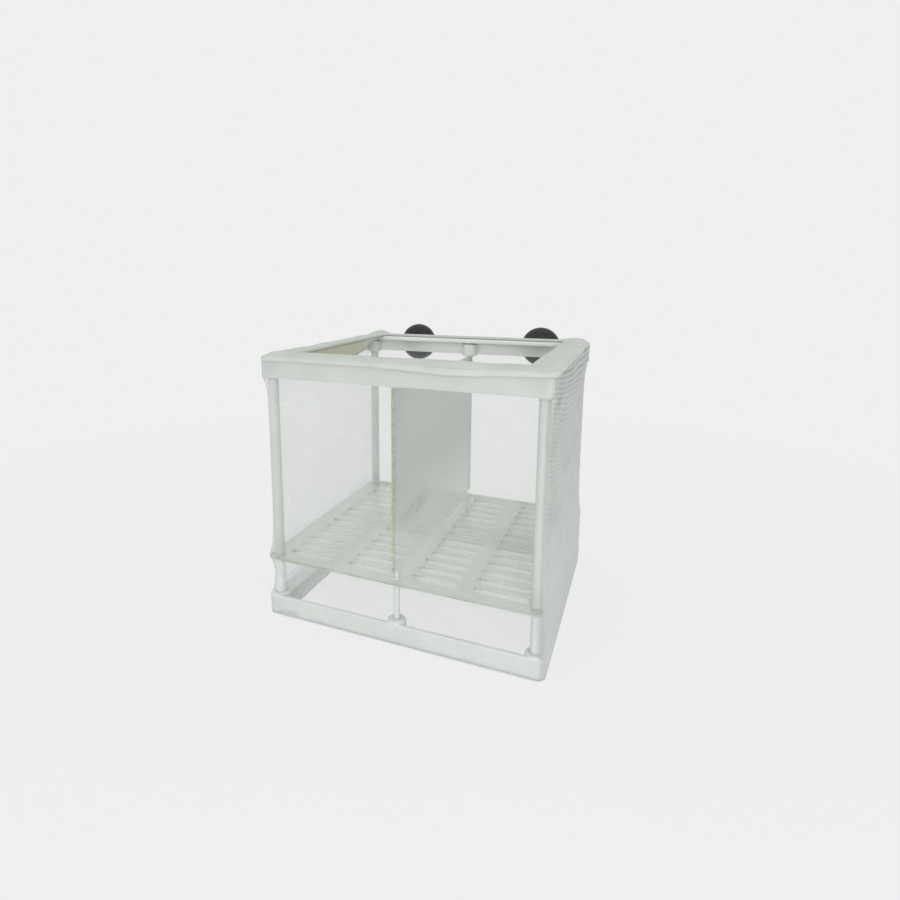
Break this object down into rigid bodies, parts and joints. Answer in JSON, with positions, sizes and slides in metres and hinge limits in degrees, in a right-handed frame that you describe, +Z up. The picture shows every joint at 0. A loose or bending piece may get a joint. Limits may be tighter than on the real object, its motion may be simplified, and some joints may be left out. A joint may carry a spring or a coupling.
{
  "type": "fish breeding box",
  "caption": "White plastic aquarium breeding box with slotted floor, see-through divider, sheer net bag and black suction cups on the back rail.",
  "frame": {"origin": "middle of the underside of the net's bottom panel, level with the surface the box stands on", "axes": "+X to the right and +Y to the back, where the suction cups are, seen from the front; +Z up"},
  "size_m": [0.16, 0.1558, 0.1589],
  "materials": {
    "white_plastic": "satin",
    "frosted_plastic": "satin",
    "divider_plastic": "gloss",
    "black_rubber": "satin",
    "sheer_net": "matte",
    "hem_fabric": "matte",
    "elastic_cord": "matte"
  },
  "bodies": {
    "cage": {"top_frame": "white_plastic", "bottom_frame": "white_plastic", "post_front_left": "white_plastic", "post_front_right": "white_plastic", "post_back_left": "white_plastic", "post_back_right": "white_plastic", "leg_front_left": "white_plastic", "leg_front_right": "white_plastic", "leg_back_left": "white_plastic", "leg_back_right": "white_plastic", "leg_front_middle": "white_plastic", "leg_back_middle": "white_plastic", "floor_grille": "frosted_plastic", "net_front": "sheer_net", "net_back": "sheer_net", "net_left": "sheer_net", "net_right": "sheer_net", "net_bottom": "sheer_net", "net_hem": "hem_fabric", "hem_elastic": "elastic_cord"},
    "divider": {"divider_panel": "divider_plastic"},
    "cup_left": {"suction_cup_left": "black_rubber"},
    "cup_right": {"suction_cup_right": "black_rubber"}
  },
  "joints": [
    {"name": "divider_lean", "type": "hinge", "parent": "cage", "child": "divider", "pos_m": [0, 0, 0.0369], "axis": [0, 1, 0], "range_deg": [-42, 42]},
    {"name": "cup_turn_left", "type": "hinge", "parent": "cage", "child": "cup_left", "pos_m": [-0.0455, 0.075, 0.1457], "axis": [0, 1, 0], "continuous": true},
    {"name": "cup_turn_right", "type": "hinge", "parent": "cage", "child": "cup_right", "pos_m": [0.0455, 0.075, 0.1457], "axis": [0, 1, 0], "continuous": true}
  ]
}
